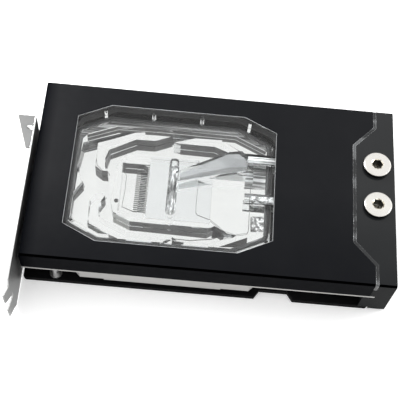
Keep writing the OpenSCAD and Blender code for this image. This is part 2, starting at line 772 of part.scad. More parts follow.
module bracket_screws() {
    color([0.55, 0.55, 0.56]) place() at(tab_points, back_thickness + bracket_thickness)
        mirror([0, 0, 1]) small_screw(bracket_thickness + 2);
}

cover_plate();
terminal_block();
accent_strip();
acrylic_manifold();
cold_plate();
jet_plate();
main_oring();
passage_orings();
plug_rear();
plug_front();
plug_orings();
manifold_screws();
cover_screws();
terminal_screws();
memory_pads();
regulator_pads();
back_plate();
back_plate_spacers();
back_plate_screws();
slot_bracket();
bracket_screws();
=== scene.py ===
import math

import bmesh
import bpy
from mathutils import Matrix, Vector


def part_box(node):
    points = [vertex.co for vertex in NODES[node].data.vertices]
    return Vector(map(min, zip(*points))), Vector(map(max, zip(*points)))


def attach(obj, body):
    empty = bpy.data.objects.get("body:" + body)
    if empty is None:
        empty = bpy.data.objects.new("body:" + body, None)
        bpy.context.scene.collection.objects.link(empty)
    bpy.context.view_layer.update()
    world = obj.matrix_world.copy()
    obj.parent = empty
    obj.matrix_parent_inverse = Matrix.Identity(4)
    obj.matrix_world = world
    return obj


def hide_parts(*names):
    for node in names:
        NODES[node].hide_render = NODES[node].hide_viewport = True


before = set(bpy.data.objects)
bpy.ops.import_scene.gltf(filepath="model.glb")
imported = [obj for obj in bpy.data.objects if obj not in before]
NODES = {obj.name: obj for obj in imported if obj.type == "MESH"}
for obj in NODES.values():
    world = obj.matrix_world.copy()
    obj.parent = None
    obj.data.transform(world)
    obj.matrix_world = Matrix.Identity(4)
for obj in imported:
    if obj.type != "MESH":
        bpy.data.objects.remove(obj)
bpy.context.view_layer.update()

MM = 0.001

# Places on the part, in metres, read from the frame
COVER_LOW, COVER_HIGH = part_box("cover_plate")
PLATE_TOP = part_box("cold_plate")[1].z
SEAL_LOW, SEAL_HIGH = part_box("main_oring")
PLUG_REAR_LOW, PLUG_REAR_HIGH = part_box("plug_rear")
PLUG_FRONT_LOW, PLUG_FRONT_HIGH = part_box("plug_front")

# From here on sizes are in millimetres, and outlines are in the block's own drawing: x runs from the
# bracket's inner face, y from the cover's front edge and z from the back plate's lower face
BRACKET_GAP = 2.2
# Window of the cover, with the cuts of its corners, and how far the acrylic's face lies below it
WINDOW_X = (24.4, 150.2)
WINDOW_Y = (13.3, 110.1)
WINDOW_CUT = (20.6, 10.2)
FACE_RECESS = 0.4
# How much of an inset the corner cuts lose
CUT_SHARE = (0.35, 0.6)
# Chamfer round the acrylic's face: its width, its distance from the window's edge and its rise
CHAMFER_WIDTH = 0.22
CHAMFER_INSET = 0.16
CHAMFER_RISE = 0.02
# Main seal: radius of its corners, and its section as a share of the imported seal's height
SEAL_CORNER = 5
SEAL_SHARE = 0.99
# The tapered inlet's roof: its pale part, its shaded part towards the slot edge, and its level
RAMP_ROOF = (
    (91.2, 66), (105.6, 74.4), (120.7, 83), (127, 83.7), (131.4, 80.4),
    (132.5, 77.5), (132.4, 74.9), (122.5, 73.5), (106, 68.4), (91.5, 62.9))
RAMP_SHADE = (
    (91.5, 62.9), (106, 68.4), (122.5, 73.5), (132.4, 74.9), (132.3, 72.2), (123, 69.8), (91.5, 61.1))
RAMP_LEVEL = 30.2
# Depth of the channels above the plate, a wall skin's thickness, and its gaps to the wall and plate
CHANNEL_DEPTH = 6.0
SKIN = 0.12
SKIN_GAP = 0.05
FOOT_GAP = 0.45
# Walls of the channels that face the slot edge: solid acrylic behind them makes them look dark, painted on
# their skins as painted shade
PAINTED_SHADE_WALLS = {
    "upper_left": ((44.4, 70.4), (46.4, 80.7), (62.6, 89.4), (74.3, 89.6), (84.8, 94.4)),
    "upper_right": ((90.2, 89.2), (112, 88.9), (120.9, 85.1), (129, 81.5)),
    "lower": ((63.6, 31.6), (110.8, 30.7), (115, 33.4), (121.3, 29.3)),
    "left_end": ((43.3, 64.8), (46.9, 64.6)),
    "outlet": ((55.8, 71.8), (68.9, 72), (71.3, 70)),
    "outer": ((31, 90.1), (49.9, 98.2), (75.3, 98.9), (124.7, 98.6), (144.4, 89.2)),
}
# Walls of the channels that catch the light, painted pale on their skins as a painted highlight
PAINTED_HIGHLIGHT_WALLS = {
    "lower_left": ((53.1, 36.3), (63.5, 31.6)),
    "lowest_left": ((39.1, 26.9), (57.5, 19.5)),
}
# Lines of painted shade where the walls that face away meet the plate, with their radius and their height
# above it
EDGES = (
    ((38.7, 87.7), (37.9, 79.1), (39.3, 70.8), (43.3, 67)),
    ((44.4, 70.6), (47.9, 65.5)),
    ((57.2, 69.6), (58.2, 65.7), (58.3, 55.9), (57.6, 44.1), (64.6, 41.6)),
    ((47.6, 49.8), (44, 41.5), (44.1, 37.2), (46, 34.4), (49.7, 31.7), (61.9, 26.1), (73.6, 26.4),
     (78.3, 24.4)),
    ((38.6, 45.8), (38.3, 32.3), (39.5, 28.6)),
    ((27.8, 67.5), (33.2, 55.8), (27.3, 48.5)),
    ((89.5, 25.4), (100.9, 25.1), (113.9, 27.3), (122.5, 31.1)),
)
EDGE_RADIUS = 0.13
EDGE_HEIGHT = 0.3
# Patches of the acrylic's lower face that the cutter left matt
PATCHES = {
    "first_corner": ((77.4, 26.1), (79.2, 25.8), (89.6, 20), (86.6, 20.2)),
    "second_corner": ((90, 26.4), (97.8, 20.8), (90.2, 20.1)),
    "third_corner": ((118.6, 21.4), (135.6, 29.4), (135.1, 22.5)),
    "lower_end": ((115.1, 35.3), (122.3, 31.6), (117.3, 28.6), (113.8, 28.1)),
}
# Pocket beside the front passage, and the inlet's pocket with its edge's height above the plate
PORT_POCKET = ((136.8, 43.9), (145.7, 44.8), (146.1, 34.3), (137.3, 33.4))
INLET_POCKET = (
    (103.3, 66.4), (102.9, 49.8), (103.2, 42.8), (104.4, 41.4), (112.6, 38.7), (121.1, 31.9), (128, 30.1),
    (135.3, 31.9), (136, 34), (136, 66.4))
POCKET_HEIGHT = 1.3
# Band of the acrylic between the main seal and the outer channel, along the slot edge
LAND_OUTSIDE = ((25.4, 91.1), (29.8, 98.6), (49.2, 107.4), (125, 107.4), (144.8, 99.3), (149, 95))
LAND_INSIDE = ((28.4, 89.5), (31.4, 93.4), (49.3, 101), (124.9, 101.3), (143.4, 92.6), (146.8, 90))
# Band outside the main seal, where the screws stand, under the cover: a dark grey sheet carries its painted
# light and shade
RIM_OUTSIDE = ((20.5, 92), (25.6, 104.5), (47, 118), (127, 118), (149.5, 107.5), (155, 97))
RIM_INSIDE = ((22.6, 92.5), (28, 101.8), (48.5, 111.7), (125.7, 111.7), (146.7, 102.8), (152.2, 97))
# Ends of the inner band, along the left and right sides
LAND_SIDES = {
    "left": ((24.8, 32), (25.3, 91), (28.3, 89.4), (27.6, 30)),
    "right": ((147.4, 34), (147, 90), (149.2, 94), (149.4, 33)),
}
# Turned face between the two ports
PORT_MARKS = ((133, 76.5), (148, 77.5), (148, 64), (132, 63))
# A drilled hole that shows as a dot: its centre, radius and number of sides
DOT_CENTRE = (53.9, 46.9)
DOT_RADIUS = 1.4
DOT_SIDES = 16
# Nub beside the jet slot
NUB = ((90.6, 52.6), (94.6, 52.2), (95.6, 50.4), (94.6, 49), (90.8, 49.2))
# Jet slot, its rim's radius and height above the plate, and the inset, height and thickness of the
# glassy sheet inside it
SLOT_X, SLOT_Y = (84.7, 90.2), (39.6, 76.4)
RIM_RADIUS = 0.35
RIM_HEIGHT = 1.6
SHEET_INSET = 0.4
SHEET_HEIGHT = 1.2
SHEET_THICKNESS = 0.1
# Fins that show in the outlet and in the jet slot: their ranges along x and y, their pitch, the share
# of it that is metal, and their levels above the plate
FINS = {
    "outlet_fins": ((67.2, 71.3), (38.4, 69.4)),
    "slot_fins": ((85.4, 89.6), (39.4, 75)),
}
FINE_PITCH = 1.2
FIN_SHARE = 0.3
FIN_LEVELS = (0.04, 0.4)
# Levels above the plate of the thin sheets on it, and of the sheet of painted shade below the fins
SHEET_LEVELS = (0.06, 0.12)
FIN_SHADE_LEVELS = (0.02, 0.04)
# Hexagon socket of the plugs
SOCKET_RADIUS = 3.7
# Gloss of the black sides, as a share of the gloss of the upward faces: painted shade on the sides
SHADED_SIDE_SHINE = 0.12
# Coolant passages: their level and radius, and each one's range along x and its place along y
BORE_Z = 26.4
BORE_RADIUS = 3.75
REAR_PASSAGE = ((133.2, 156), 81.8)
FRONT_PASSAGE = ((136.4, 156), 53.4)
# Refractive index of acrylic
ACRYLIC_INDEX = 1.49
# Distance at which the acrylic's corners are welded, and how far its skin is drawn in
WELD_DISTANCE = 0.001
SKIN_DRAW = 0.02
# Camera, fitted to the photograph
CAMERA_PLACE = (-11.31, -266.68, 508.154)
CAMERA_TURN = (0.44061, -0.058765, 0.068401)
LENS = 80.555
SENSOR = 36
CAMERA_SHIFT = 0.15
# Nearest and farthest distance that the camera sees, in metres
NEAR_CLIP = 0.01
FAR_CLIP = 20
# Square lamps: their side, and the place, target and power in watts of each
LAMP_SIDE = 160
LAMPS = {
    "left": ((-300, 200, 240), (-90, 20, 30), 1.6),
    "right": ((430, 60, 300), (100, 0, 30), 0.8),
}
# Sky's strength at the horizon and overhead, and the height of a direction where it is full
SKY_STRENGTH = (0.3, 1.0)
SKY_FULL = 0.75
# Floor: half its side in metres, its drop below the part, and its own glow where it is seen
FLOOR_HALF = 3.0
FLOOR_DROP = 0.02
FLOOR_GLOW = 0.3


def at(x, y, z=0.0):
    """Point of the block's own drawing, in millimetres, as a place in the frame."""
    return Vector((COVER_LOW.x + (x - BRACKET_GAP) * MM, COVER_LOW.y + y * MM, z * MM))


# Node helpers
def new_material(name):
    """New material, with its node tree and its shader."""
    made = bpy.data.materials.new(name)
    made.use_nodes = True
    return made, made.node_tree, made.node_tree.nodes["Principled BSDF"]


def add(tree, kind, **values):
    """New node of a kind, with its settings."""
    node = tree.nodes.new(kind)
    for name, value in values.items():
        setattr(node, name, value)
    return node


def link(tree, output, socket):
    """Joins an output to a socket."""
    tree.links.new(output, socket)


def place(tree, stretch=(1, 1, 1)):
    """The piece's own coordinates in metres, stretched along its axes."""
    source = add(tree, "ShaderNodeTexCoord")
    mapping = add(tree, "ShaderNodeMapping")
    mapping.inputs["Scale"].default_value = stretch
    link(tree, source.outputs["Object"], mapping.inputs["Vector"])
    return mapping.outputs["Vector"]


def noise(tree, size_mm, stretch=(1, 1, 1), detail=2.0, roughness=0.5):
    """Noise whose features are about size_mm across."""
    made = add(tree, "ShaderNodeTexNoise")
    made.inputs["Scale"].default_value = 1 / (size_mm * MM)
    made.inputs["Detail"].default_value = detail
    made.inputs["Roughness"].default_value = roughness
    link(tree, place(tree, stretch), made.inputs["Vector"])
    return made.outputs["Fac"]


def spread(tree, value, low, high, start=0.3, end=0.7):
    """Value from start to end mapped to low to high."""
    made = add(tree, "ShaderNodeMapRange")
    made.inputs["From Min"].default_value = start
    made.inputs["From Max"].default_value = end
    made.inputs["To Min"].default_value = low
    made.inputs["To Max"].default_value = high
    link(tree, value, made.inputs["Value"])
    return made.outputs["Result"]


def mixed(tree, factor, first, second):
    """Colour between first and second by factor."""
    made = add(tree, "ShaderNodeMix", data_type="RGBA")
    link(tree, factor, made.inputs["Factor"])
    for socket, value in ((made.inputs[6], first), (made.inputs[7], second)):
        if isinstance(value, tuple):
            socket.default_value = (*value, 1)
        else:
            link(tree, value, socket)
    return made.outputs[2]


def rounded_edges(tree, radius_mm):
    """Normal that rounds the sharp edges of a piece."""
    made = add(tree, "ShaderNodeBevel", samples=4)
    made.inputs["Radius"].default_value = radius_mm * MM
    return made.outputs["Normal"]


def bump(tree, height, depth_mm, normal=None):
    """Normal that follows a height, on top of another normal if one is given."""
    made = add(tree, "ShaderNodeBump")
    made.inputs["Strength"].default_value = 1
    made.inputs["Distance"].default_value = depth_mm * MM
    link(tree, height, made.inputs["Height"])
    if normal is not None:
        link(tree, normal, made.inputs["Normal"])
    return made.outputs["Normal"]


def edge_wear_and_glint(tree, rounded):
    """Mask that is 1 on sharp edges, where a finish is polished or worn, and where a glint is painted."""
    flat = add(tree, "ShaderNodeNewGeometry")
    dot = add(tree, "ShaderNodeVectorMath", operation="DOT_PRODUCT")
    link(tree, rounded, dot.inputs[0])
    link(tree, flat.outputs["Normal"], dot.inputs[1])
    return spread(tree, dot.outputs["Value"], 1.0, 0.0, 0.75, 0.98)


def upright(tree, low, high, start, end):
    """Value from the upward part of the true normal, mapped from start to end onto low to high."""
    geometry = add(tree, "ShaderNodeNewGeometry")
    parts = add(tree, "ShaderNodeSeparateXYZ")
    link(tree, geometry.outputs["True Normal"], parts.inputs["Vector"])
    return spread(tree, parts.outputs["Z"], low, high, start, end)


def product(tree, first, second):
    """Product of two values, each a number or an output."""
    made = add(tree, "ShaderNodeMath", operation="MULTIPLY")
    for socket, value in zip(made.inputs, (first, second)):
        if isinstance(value, (int, float)):
            socket.default_value = value
        else:
            link(tree, value, socket)
    return made.outputs["Value"]


def shaded_end(tree, axis, start_mm, reach_mm, least):
    """Rises along an axis from least at start_mm from the cover's corner to 1 at reach_mm from it."""
    source = add(tree, "ShaderNodeTexCoord")
    parts = add(tree, "ShaderNodeSeparateXYZ")
    link(tree, source.outputs["Object"], parts.inputs["Vector"])
    corner = COVER_LOW["XYZ".index(axis)]
    return spread(tree, parts.outputs[axis], least, 1, corner + start_mm * MM, corner + reach_mm * MM)


def grey(value):
    """Neutral colour."""
    return (value, value, value)


# Materials
def anodised(name, dark, light, edge, shine, roughness=(0.36, 0.46), brush=0.0):
    """Black matt finish: fine grain, soft clouds, brighter edges, and painted shade that makes its bevels
    black.

    Its gloss is lowered towards the bracket, the front and the sides as painted shade, and it is brushed if
    brush is a depth.
    """
    made, tree, shader = new_material(name)
    rounded = rounded_edges(tree, 0.3)
    clouds = noise(tree, 28, detail=4)
    tone = mixed(tree, spread(tree, clouds, 0, 1), dark, light)
    worn = edge_wear_and_glint(tree, rounded)
    flat = upright(tree, 0, 1, 0.85, 0.98)
    side = upright(tree, 1, 0, 0.02, 0.3)
    either = add(tree, "ShaderNodeMath", operation="MAXIMUM")
    link(tree, flat, either.inputs[0])
    link(tree, side, either.inputs[1])
    tone = mixed(tree, worn, tone, edge)
    # Painted shade: bevels, neither flat nor upright, get a near-black colour here and no gloss below
    tone = mixed(tree, either.outputs["Value"], (0.0006, 0.0006, 0.0007), tone)
    link(tree, tone, shader.inputs["Base Color"])
    link(tree, spread(tree, noise(tree, 4, detail=5), *roughness), shader.inputs["Roughness"])
    grain = bump(tree, noise(tree, 0.35, detail=3), 0.012, rounded)
    if brush:
        grain = bump(tree, noise(tree, 0.9, (0.02, 1, 1), detail=3), brush, grain)
    link(tree, grain, shader.inputs["Normal"])
    # Painted shade: the gloss fades towards the bracket, the front and the sides
    shade = product(tree, shaded_end(tree, "X", 0.5, 9, 0.05), shaded_end(tree, "Y", 2, 60, 0.5))
    shade = product(tree, shade, upright(tree, SHADED_SIDE_SHINE, 1, 0.3, 0.85))
    gloss = product(tree, product(tree, either.outputs["Value"], shade), shine)
    link(tree, gloss, shader.inputs["Specular IOR Level"])
    return made


def machined(name, colour, tint, roughness, marks_mm, stretch, depth_mm, edge_mm=0.2,
             sides=0.0, painted_side_share=1.0):
    """Metal with fine tool or brush marks along one axis.

    Its sides are sawn if sides is a roughness, and painted darker by a share, as painted shade.
    """
    made, tree, shader = new_material(name)
    marks = noise(tree, marks_mm, stretch, detail=4)
    tone = mixed(tree, spread(tree, noise(tree, 20, detail=3), 0, 1), colour, tint)
    # Painted shade: upright sides are darkened towards black
    if painted_side_share < 1:
        tone = mixed(tree, upright(tree, 1 - painted_side_share, 0, 0.1, 0.6), tone, grey(0.0))
    link(tree, tone, shader.inputs["Base Color"])
    fine = spread(tree, marks, *roughness)
    if sides:
        blend = add(tree, "ShaderNodeMix", data_type="FLOAT")
        link(tree, upright(tree, 1, 0, 0.1, 0.6), blend.inputs["Factor"])
        link(tree, fine, blend.inputs[2])
        blend.inputs[3].default_value = sides
        fine = blend.outputs[0]
    link(tree, fine, shader.inputs["Roughness"])
    link(tree, bump(tree, marks, depth_mm, rounded_edges(tree, edge_mm)), shader.inputs["Normal"])
    shader.inputs["Metallic"].default_value = 1
    return made


def turned(name, colour, tint, centre, pitch_mm, roughness, socket_mm):
    """Metal turned on a lathe: rings round an upright axis through centre, with painted shade and painted
    glints in its socket, and painted dark sides.
    """
    made, tree, shader = new_material(name)
    source = add(tree, "ShaderNodeTexCoord")
    mapping = add(tree, "ShaderNodeMapping")
    mapping.inputs["Location"].default_value = (-centre.x, -centre.y, 0)
    mapping.inputs["Scale"].default_value = (1, 1, 0)
    link(tree, source.outputs["Object"], mapping.inputs["Vector"])
    length = add(tree, "ShaderNodeVectorMath", operation="LENGTH")
    link(tree, mapping.outputs["Vector"], length.inputs[0])
    rings = add(tree, "ShaderNodeMath", operation="MULTIPLY")
    rings.inputs[1].default_value = 2 * math.pi / (pitch_mm * MM)
    link(tree, length.outputs["Value"], rings.inputs[0])
    wave = add(tree, "ShaderNodeMath", operation="SINE")
    link(tree, rings.outputs["Value"], wave.inputs[0])
    tone = mixed(tree, spread(tree, noise(tree, 6, detail=3), 0, 1), colour, tint)
    # Painted shade and painted glints in the socket, where little light reaches
    socket_glints = noise(tree, 1.3, detail=1)
    lit = spread(tree, socket_glints, 0, 1, 0.36, 0.48)
    shadow = mixed(tree, lit, (0.16, 0.14, 0.11), (0.75, 0.68, 0.55))
    shadow = mixed(tree, spread(tree, socket_glints, 0, 1, 0.52, 0.58), shadow, (1, 0.98, 0.88))
    outside = spread(tree, length.outputs["Value"], 0, 1, socket_mm * MM, (socket_mm + 0.15) * MM)
    tone = mixed(tree, outside, shadow, tone)
    # Painted reflection: upright sides are near black, as if they mirror the black block round the head
    tone = mixed(tree, upright(tree, 0, 1, 0.1, 0.5), grey(0.03), tone)
    link(tree, tone, shader.inputs["Base Color"])
    link(tree, spread(tree, wave.outputs["Value"], *roughness, -1, 1), shader.inputs["Roughness"])
    cut = bump(tree, wave.outputs["Value"], 0.004, rounded_edges(tree, 0.35))
    link(tree, cut, shader.inputs["Normal"])
    shader.inputs["Metallic"].default_value = 1
    return made


def clear(name, tint):
    """Clear acrylic that lets the lamps reach what lies under it."""
    made, tree, shader = new_material(name)
    shader.inputs["Base Color"].default_value = (*tint, 1)
    shader.inputs["Roughness"].default_value = 0
    shader.inputs["IOR"].default_value = ACRYLIC_INDEX
    shader.inputs["Transmission Weight"].default_value = 1
    rays = add(tree, "ShaderNodeLightPath")
    through = add(tree, "ShaderNodeBsdfTransparent")
    through.inputs["Color"].default_value = (*(0.96 * c for c in tint), 1)
    either = add(tree, "ShaderNodeMixShader")
    link(tree, rays.outputs["Is Shadow Ray"], either.inputs["Fac"])
    link(tree, shader.outputs["BSDF"], either.inputs[1])
    link(tree, through.outputs["BSDF"], either.inputs[2])
    link(tree, either.outputs["Shader"], tree.nodes["Material Output"].inputs["Surface"])
    return made


def frosted(name, colour, roughness, weight, grain_mm, depth_mm):
    """Acrylic whose surface a cutter has left matt."""
    made, tree, shader = new_material(name)
    shader.inputs["Base Color"].default_value = (*colour, 1)
    shader.inputs["IOR"].default_value = ACRYLIC_INDEX
    shader.inputs["Transmission Weight"].default_value = weight
    grain = noise(tree, grain_mm, detail=3)
    link(tree, spread(tree, grain, *roughness), shader.inputs["Roughness"])
    link(tree, bump(tree, grain, depth_mm), shader.inputs["Normal"])
    return made


def cut_strip(name):
    """Clear strip over a dark groove: a dark core with painted glints, between edges with painted
    highlights in stretches.
    """
    made, tree, shader = new_material(name)
    rounded = rounded_edges(tree, 0.6)
    # Painted highlights along the edges and painted glints in the core, in stretches
    stretches = noise(tree, 10, detail=2)
    painted_edge_glint = spread(tree, stretches, 0, 1, 0.42, 0.58)
    painted_core_glint = spread(tree, stretches, 0, 1, 0.5, 0.62)
    lit = mixed(tree, painted_edge_glint, (0.08, 0.083, 0.086), (0.6, 0.62, 0.63))
    core = mixed(tree, painted_core_glint, (0.012, 0.013, 0.014), (0.1, 0.103, 0.106))
    tone = mixed(tree, edge_wear_and_glint(tree, rounded), core, lit)
    link(tree, tone, shader.inputs["Base Color"])
    link(tree, spread(tree, noise(tree, 0.8, detail=3), 0.1, 0.3), shader.inputs["Roughness"])
    link(tree, rounded, shader.inputs["Normal"])
    return made


def milled_acrylic(name, deep, mid, pale):
    """Side wall of a milled channel, with lines that the cutter's passes left, in tones of painted light
    and shade.
    """
    made, tree, shader = new_material(name)
    lines = noise(tree, 0.9, (0.02, 0.02, 1), detail=3)
    streaks = noise(tree, 7, (1, 1, 0.2), detail=2)
    tone = mixed(tree, spread(tree, lines, 0, 1), deep, mid)
    tone = mixed(tree, spread(tree, streaks, 0, 0.5), tone, pale)
    link(tree, tone, shader.inputs["Base Color"])
    link(tree, spread(tree, lines, 0.25, 0.4), shader.inputs["Roughness"])
    link(tree, bump(tree, lines, 0.02), shader.inputs["Normal"])
    return made


def matt_sheet(name, deep, mid, pale):
    """Surface that a fine cutter left matt: cloudy, a little see-through, and painted white on its inner
    side as painted light.
    """
    made, tree, shader = new_material(name)
    clouds = noise(tree, 14, detail=3)
    grain = noise(tree, 1.2, (0.3, 1, 1), detail=3)
    tone = mixed(tree, spread(tree, clouds, 0, 1), deep, mid)
    tone = mixed(tree, spread(tree, grain, 0, 0.6), tone, pale)
    # Painted light: the inner side is near white
    side = add(tree, "ShaderNodeNewGeometry")
    tone = mixed(tree, side.outputs["Backfacing"], tone, grey(0.92))
    link(tree, tone, shader.inputs["Base Color"])
    link(tree, spread(tree, grain, 0.35, 0.5), shader.inputs["Roughness"])
    link(tree, bump(tree, grain, 0.01), shader.inputs["Normal"])
    shader.inputs["Alpha"].default_value = 0.8
    return made


def streaked(name, size_mm, stretch, depth_mm, white=0.54):
    """Cut acrylic whose marks carry painted reflections: black and grey streaks of painted shade and, from
    the level white on, white streaks of painted highlight.
    """
    made, tree, shader = new_material(name)
    marks = noise(tree, size_mm, stretch, detail=4, roughness=0.6)
    dark = spread(tree, marks, 0, 1, white - 0.18, white - 0.02)
    tone = mixed(tree, dark, grey(0.015), (0.28, 0.28, 0.275))
    tone = mixed(tree, spread(tree, marks, 0, 1, white, white + 0.08), tone, grey(0.95))
    link(tree, tone, shader.inputs["Base Color"])
    link(tree, spread(tree, marks, 0.1, 0.3), shader.inputs["Roughness"])
    link(tree, bump(tree, marks, depth_mm), shader.inputs["Normal"])
    return made


def moulded(name, dark, light, roughness, grain_mm, depth_mm):
    """Rubber, pad or lacquer with a fine grain."""
    made, tree, shader = new_material(name)
    tone = mixed(tree, spread(tree, noise(tree, 5, detail=4), 0, 1), dark, light)
    link(tree, tone, shader.inputs["Base Color"])
    link(tree, spread(tree, noise(tree, 2, detail=4), *roughness), shader.inputs["Roughness"])
    grain = bump(tree, noise(tree, grain_mm, detail=3), depth_mm, rounded_edges(tree, 0.15))
    link(tree, grain, shader.inputs["Normal"])
    return made


# Meshes
def shape_piece(name, shape, material, smooth=False):
    """Shape as a piece."""
    mesh = bpy.data.meshes.new(name)
    shape.to_mesh(mesh)
    shape.free()
    for face in mesh.polygons:
        face.use_smooth = smooth
    return mesh_piece(name, mesh, material)


def mesh_piece(name, mesh, material):
    """Mesh as a piece that rides on the block, with its material."""
    piece = bpy.data.objects.new(name, mesh)
    bpy.context.scene.collection.objects.link(piece)
    mesh.materials.clear()
    mesh.materials.append(material)
    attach(piece, "root")
    return piece


def prism(name, outline, low, high, material):
    """Upright prism on an outline of frame points."""
    shape = bmesh.new()
    bottom = [shape.verts.new((p.x, p.y, low)) for p in outline]
    top = [shape.verts.new((p.x, p.y, high)) for p in outline]
    shape.faces.new(bottom)
    shape.faces.new(top)
    for i in range(len(outline)):
        j = (i + 1) % len(outline)
        shape.faces.new((bottom[i], bottom[j], top[j], top[i]))
    bmesh.ops.recalc_face_normals(shape, faces=shape.faces)
    return shape_piece(name, shape, material)


def rounded_loop(points, radius, steps=6):
    """Closed line of frame points with its corners rounded by arcs."""
    made = []
    for i, corner in enumerate(points):
        before = (points[i - 1] - corner).normalized()
        after = (points[(i + 1) % len(points)] - corner).normalized()
        half = before.angle(after) / 2
        reach = radius / math.tan(half)
        centre = corner + (before + after).normalized() * (radius / math.sin(half))
        start = (corner + before * reach - centre).normalized()
        end = (corner + after * reach - centre).normalized()
        for k in range(steps + 1):
            made.append(centre + start.slerp(end, k / steps) * radius)
    return made


def tube(name, points, radius, material, closed=True, resolution=5):
    """Round tube along a line of frame points."""
    curve = bpy.data.curves.new(name, "CURVE")
    curve.dimensions = "3D"
    curve.bevel_depth = radius
    curve.bevel_resolution = resolution
    line = curve.splines.new("POLY")
    line.points.add(len(points) - 1)
    for spot, point in zip(line.points, points):
        spot.co = (*point, 1)
    line.use_cyclic_u = closed
    source = bpy.data.objects.new(name + "_line", curve)
    bpy.context.scene.collection.objects.link(source)
    graph = bpy.context.evaluated_depsgraph_get()
    mesh = bpy.data.meshes.new_from_object(source.evaluated_get(graph))
    bpy.data.objects.remove(source)
    for face in mesh.polygons:
        face.use_smooth = True
    return mesh_piece(name, mesh, material)


def octagon(inset, z):
    """Corners of the window at the level z, moved inwards by inset."""
    x0, x1 = WINDOW_X[0] + inset, WINDOW_X[1] - inset
    y0, y1 = WINDOW_Y[0] + inset, WINDOW_Y[1] - inset
    cut_x, cut_y = (cut - share * inset for cut, share in zip(WINDOW_CUT, CUT_SHARE))
    return [at(x, y, z) for x, y in (
        (x0 + cut_x, y0), (x1 - cut_x, y0), (x1, y0 + cut_y), (x1, y1 - cut_y),
        (x1 - cut_x, y1), (x0 + cut_x, y1), (x0, y1 - cut_y), (x0, y0 + cut_y))]


# Pieces
def main_seal(material):
    """The main O-ring with its round section, in its groove."""
    radius = (SEAL_HIGH.z - SEAL_LOW.z) / 2
    z = (SEAL_LOW.z + SEAL_HIGH.z) / 2
    x0, x1 = SEAL_LOW.x + radius, SEAL_HIGH.x - radius
    y0, y1 = SEAL_LOW.y + radius, SEAL_HIGH.y - radius
    cut_x, cut_y = WINDOW_CUT[0] * MM, WINDOW_CUT[1] * MM
    corners = [Vector((x, y, z)) for x, y in (
        (x0 + cut_x, y0), (x1 - cut_x, y0), (x1, y0 + cut_y), (x1, y1 - cut_y),
        (x1 - cut_x, y1), (x0 + cut_x, y1), (x0, y1 - cut_y), (x0, y0 + cut_y))]
    line = rounded_loop(corners, SEAL_CORNER * MM)
    piece = tube("main_seal", line, radius * SEAL_SHARE, material)
    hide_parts("main_oring")
    return piece


def window_chamfer(material):
    """Chamfer round the acrylic's face, left matt by the cutter."""
    top = COVER_HIGH.z / MM - FACE_RECESS + CHAMFER_RISE
    bottom = top - CHAMFER_WIDTH
    inner = CHAMFER_INSET + CHAMFER_WIDTH
    rings = (octagon(CHAMFER_INSET, bottom), octagon(CHAMFER_INSET, top - CHAMFER_RISE),
             octagon(inner, top), octagon(inner, bottom))
    shape = bmesh.new()
    rows = [[shape.verts.new(p) for p in ring] for ring in rings]
    sides = len(rings[0])
    for first, second in zip(rows, rows[1:] + rows[:1]):
        for i in range(sides):
            j = (i + 1) % sides
            shape.faces.new((first[i], first[j], second[j], second[i]))
    bmesh.ops.recalc_face_normals(shape, faces=shape.faces)
    shape_piece("window_chamfer", shape, material)


def milled_wall(name, line, material):
    """Thin skin on one wall of a channel, on the right of its line, that carries the wall's painted light
    and shade.
    """
    points = [at(x, y) for x, y in line]
    stretches = [(after - before).normalized() for before, after in zip(points, points[1:])]
    near, far = [], []
    for point, into, away in zip(points, stretches[:1] + stretches, stretches + stretches[-1:]):
        along = (into + away).normalized()
        side = Vector((along.y, -along.x, 0)) / max(0.5, along.dot(into))
        near.append(point + side * SKIN_GAP * MM)
        far.append(point + side * (SKIN_GAP + SKIN) * MM)
    outline = near + far[::-1]
    low, high = PLATE_TOP + FOOT_GAP * MM, PLATE_TOP + (CHANNEL_DEPTH - SKIN_GAP) * MM
    return prism(name, outline, low, high, material)


def floor_patch(name, outline, material, levels=SHEET_LEVELS):
    """Thin sheet just above the plate."""
    low, high = (PLATE_TOP + level * MM for level in levels)
    return prism(name, [at(x, y) for x, y in outline], low, high, material)


def band(outside, inside):
    """Outline of the band between two lines."""
    return [*outside, *reversed(inside)]


def fine_fins(name, x_range, y_range, material):
    """Fins of the plate at their fine pitch."""
    shape = bmesh.new()
    count = int((y_range[1] - y_range[0]) / FINE_PITCH)
    low, high = (PLATE_TOP + level * MM for level in FIN_LEVELS)
    left, right = x_range
    for i in range(count):
        front = y_range[0] + i * FINE_PITCH
        back = front + FIN_SHARE * FINE_PITCH
        corners = [at(x, y) for x, y in ((left, front), (right, front), (right, back), (left, back))]
        bottom = [shape.verts.new((p.x, p.y, low)) for p in corners]
        top = [shape.verts.new((p.x, p.y, high)) for p in corners]
        shape.faces.new(reversed(bottom))
        shape.faces.new(top)
        for a in range(4):
            b = (a + 1) % 4
            shape.faces.new((bottom[a], bottom[b], top[b], top[a]))
    shape_piece(name, shape, material)


def stadium(x_range, y_range, z=0.0, steps=10):
    """Outline of a slot with round ends, along y, at the level z."""
    radius = (x_range[1] - x_range[0]) / 2
    middle = (x_range[0] + x_range[1]) / 2
    made = []
    for end, turn in ((y_range[1] - radius, 0), (y_range[0] + radius, math.pi)):
        for k in range(steps + 1):
            angle = turn + math.pi * k / steps
            made.append(at(middle + radius * math.cos(angle), end + radius * math.sin(angle), z))
    return made


def bore_skin(name, passage, material, sides=32):
    """Inner wall of a coolant passage, with the marks of the drill."""
    x_range, y = passage
    angles = [2 * math.pi * k / sides for k in range(sides)]
    section = [(y + BORE_RADIUS * math.cos(a), BORE_Z + BORE_RADIUS * math.sin(a)) for a in angles]
    shape = bmesh.new()
    near, far = ([shape.verts.new(at(x, *spot)) for spot in section] for x in x_range)
    for k in range(sides):
        j = (k + 1) % sides
        shape.faces.new((near[k], far[k], far[j], near[j]))
    shape_piece(name, shape, material, smooth=True)


